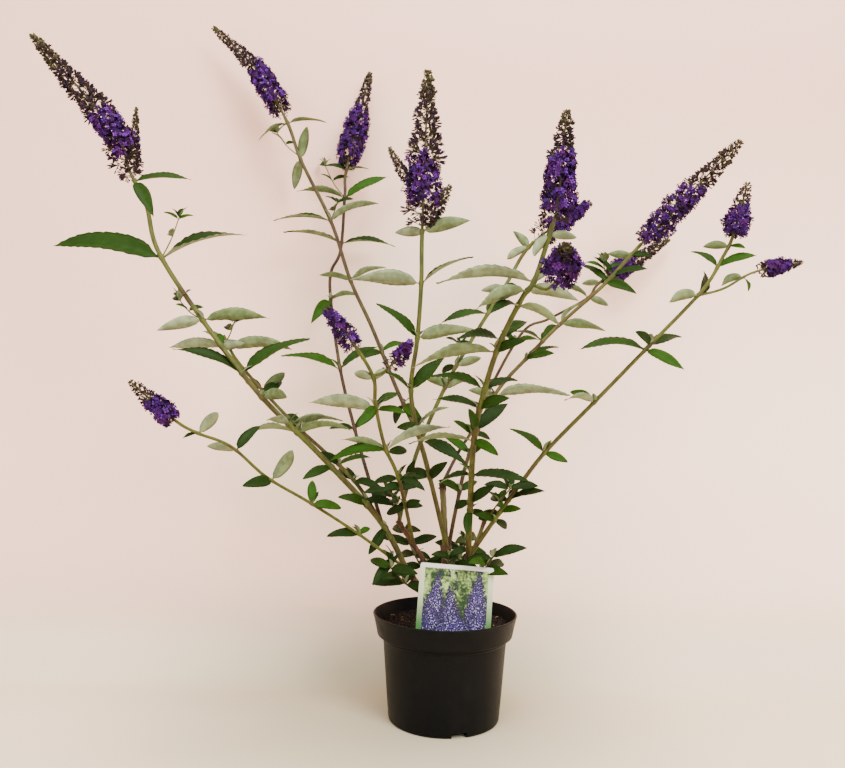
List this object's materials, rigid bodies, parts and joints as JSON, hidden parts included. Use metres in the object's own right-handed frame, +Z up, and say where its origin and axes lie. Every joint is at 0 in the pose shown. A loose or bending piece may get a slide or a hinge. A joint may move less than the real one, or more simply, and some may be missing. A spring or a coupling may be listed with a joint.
{
  "type": "butterfly bush in nursery pot",
  "caption": "Butterfly bush with arching canes, opposite lance-shaped leaves and long violet flower spikes, in a round black nursery pot with a plant label.",
  "frame": {"origin": "centre of the pot's flat underside, on the pot's axis", "axes": "+Z up along the pot's axis, +X towards the plant's right as it is seen from the label's side, -Y towards the viewer on the label's side"},
  "size_m": [0.9902, 0.4679, 1.0186],
  "materials": {
    "pot": "soft sheen",
    "soil": "rough",
    "label": "satin print",
    "wood": "rough bark",
    "cane": "matte",
    "brown_cane": "matte",
    "leaf": "matte",
    "flower": "velvety"
  },
  "bodies": {
    "root": {"pot": "pot", "soil": "soil", "label": "label", "crown": "wood", "cane_arch_left": "cane", "cane_short_left": "cane", "cane_low_left": "cane", "cane_upright_back": "brown_cane", "cane_lean_left": "brown_cane", "cane_centre": "cane", "cane_slender_right": "cane", "cane_tall_right": "cane", "cane_arch_right": "cane", "cane_back_right": "brown_cane", "cane_low_right": "cane", "cane_front_left": "cane", "flower_arch_left": "flower", "flower_low_left": "flower", "flower_upright_back": "flower", "flower_lean_left": "flower", "flower_centre": "flower", "flower_slender_right": "flower", "flower_tall_right": "flower", "flower_tall_right_side": "flower", "flower_arch_right": "flower", "flower_back_right": "flower", "flower_low_right": "flower", "flower_low_right_side": "flower", "flower_front_left": "flower", "flower_front_left_side": "flower", "spray_arch_left": "leaf", "spray_short_left": "leaf", "spray_low_left": "leaf", "spray_upright_back": "leaf", "spray_lean_left": "leaf", "spray_centre": "leaf", "spray_slender_right": "leaf", "spray_tall_right": "leaf", "spray_arch_right": "leaf", "spray_back_right": "leaf", "spray_low_right": "leaf", "spray_front_left": "leaf", "basal_left": "leaf", "basal_left_high": "leaf", "basal_front": "leaf", "basal_right": "leaf", "basal_right_high": "leaf", "basal_back": "leaf", "basal_back_left": "leaf"}
  },
  "joints": []
}
